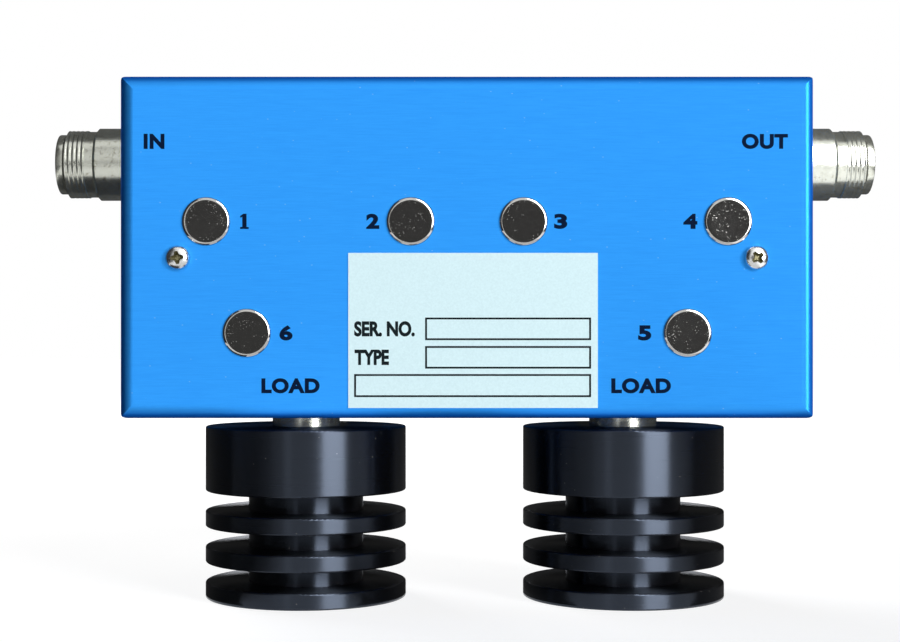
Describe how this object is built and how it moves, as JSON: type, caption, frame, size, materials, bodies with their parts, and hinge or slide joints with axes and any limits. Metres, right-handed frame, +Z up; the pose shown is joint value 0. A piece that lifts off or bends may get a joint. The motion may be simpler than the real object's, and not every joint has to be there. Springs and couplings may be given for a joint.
{
  "type": "rf isolator",
  "caption": "Coaxial isolator: a folded metal box with a threaded port at each end, plugged tuning holes in its front and finned loads screwed on below.",
  "frame": {"origin": "below the middle of the box, midway between the load axes, on the plane that the loads stand on", "axes": "+X towards the output port, +Y from the front face to the mounting back, +Z up"},
  "size_m": [0.191, 0.0528, 0.1191],
  "materials": {
    "blue_anodised": "folded sheet, brushed and blue anodised",
    "milled_aluminium": "milled, clear chromate",
    "black_anodised": "turned, black anodised",
    "nickel": "turned, bright nickel plated",
    "tinned_steel": "pressed thin sheet, bright plated",
    "plated_screw": "bright zinc plated",
    "label_film": "printed film, satin",
    "ptfe": "turned, waxy white",
    "gold_plate": "gold plated contact",
    "copper": "cut from half-hard copper sheet",
    "ferrite": "ground ferrite",
    "magnet": "ground magnet",
    "mild_steel": "blanked, plated steel",
    "trimmer_brass": "turned brass",
    "resistor_body": "ceramic with a resistive film"
  },
  "bodies": {
    "root": {"cover": "blue_anodised", "rating_label": "label_film", "cover_screws": "plated_screw", "cover_standoffs": "mild_steel", "lid": "milled_aluminium", "lid_screws": "plated_screw", "tray": "milled_aluminium", "flange_screws": "plated_screw", "link_strap": "copper", "tuning_plug_1": "tinned_steel", "trimmer_1": "trimmer_brass", "tuning_plug_2": "tinned_steel", "trimmer_2": "trimmer_brass", "tuning_plug_3": "tinned_steel", "trimmer_3": "trimmer_brass", "tuning_plug_4": "tinned_steel", "trimmer_4": "trimmer_brass", "tuning_plug_5": "tinned_steel", "trimmer_5": "trimmer_brass", "tuning_plug_6": "tinned_steel", "trimmer_6": "trimmer_brass", "in_port_shell": "nickel", "in_port_insulator": "ptfe", "in_port_contact": "gold_plate", "out_port_shell": "nickel", "out_port_insulator": "ptfe", "out_port_contact": "gold_plate", "load_port_a_shell": "nickel", "load_port_a_insulator": "ptfe", "load_port_a_contact": "gold_plate", "load_port_b_shell": "nickel", "load_port_b_insulator": "ptfe", "load_port_b_contact": "gold_plate", "load_a_body": "black_anodised", "load_a_bead": "ptfe", "load_a_pin": "gold_plate", "load_a_resistor": "resistor_body", "load_b_body": "black_anodised", "load_b_bead": "ptfe", "load_b_pin": "gold_plate", "load_b_resistor": "resistor_body", "junction_a_conductor": "copper", "junction_a_ferrite_front": "ferrite", "junction_a_pole_front": "mild_steel", "junction_a_magnet_front": "magnet", "junction_a_yoke_front": "mild_steel", "junction_a_ferrite_rear": "ferrite", "junction_a_pole_rear": "mild_steel", "junction_a_magnet_rear": "magnet", "junction_a_yoke_rear": "mild_steel", "junction_b_conductor": "copper", "junction_b_ferrite_front": "ferrite", "junction_b_pole_front": "mild_steel", "junction_b_magnet_front": "magnet", "junction_b_yoke_front": "mild_steel", "junction_b_ferrite_rear": "ferrite", "junction_b_pole_rear": "mild_steel", "junction_b_magnet_rear": "magnet", "junction_b_yoke_rear": "mild_steel"}
  },
  "joints": []
}
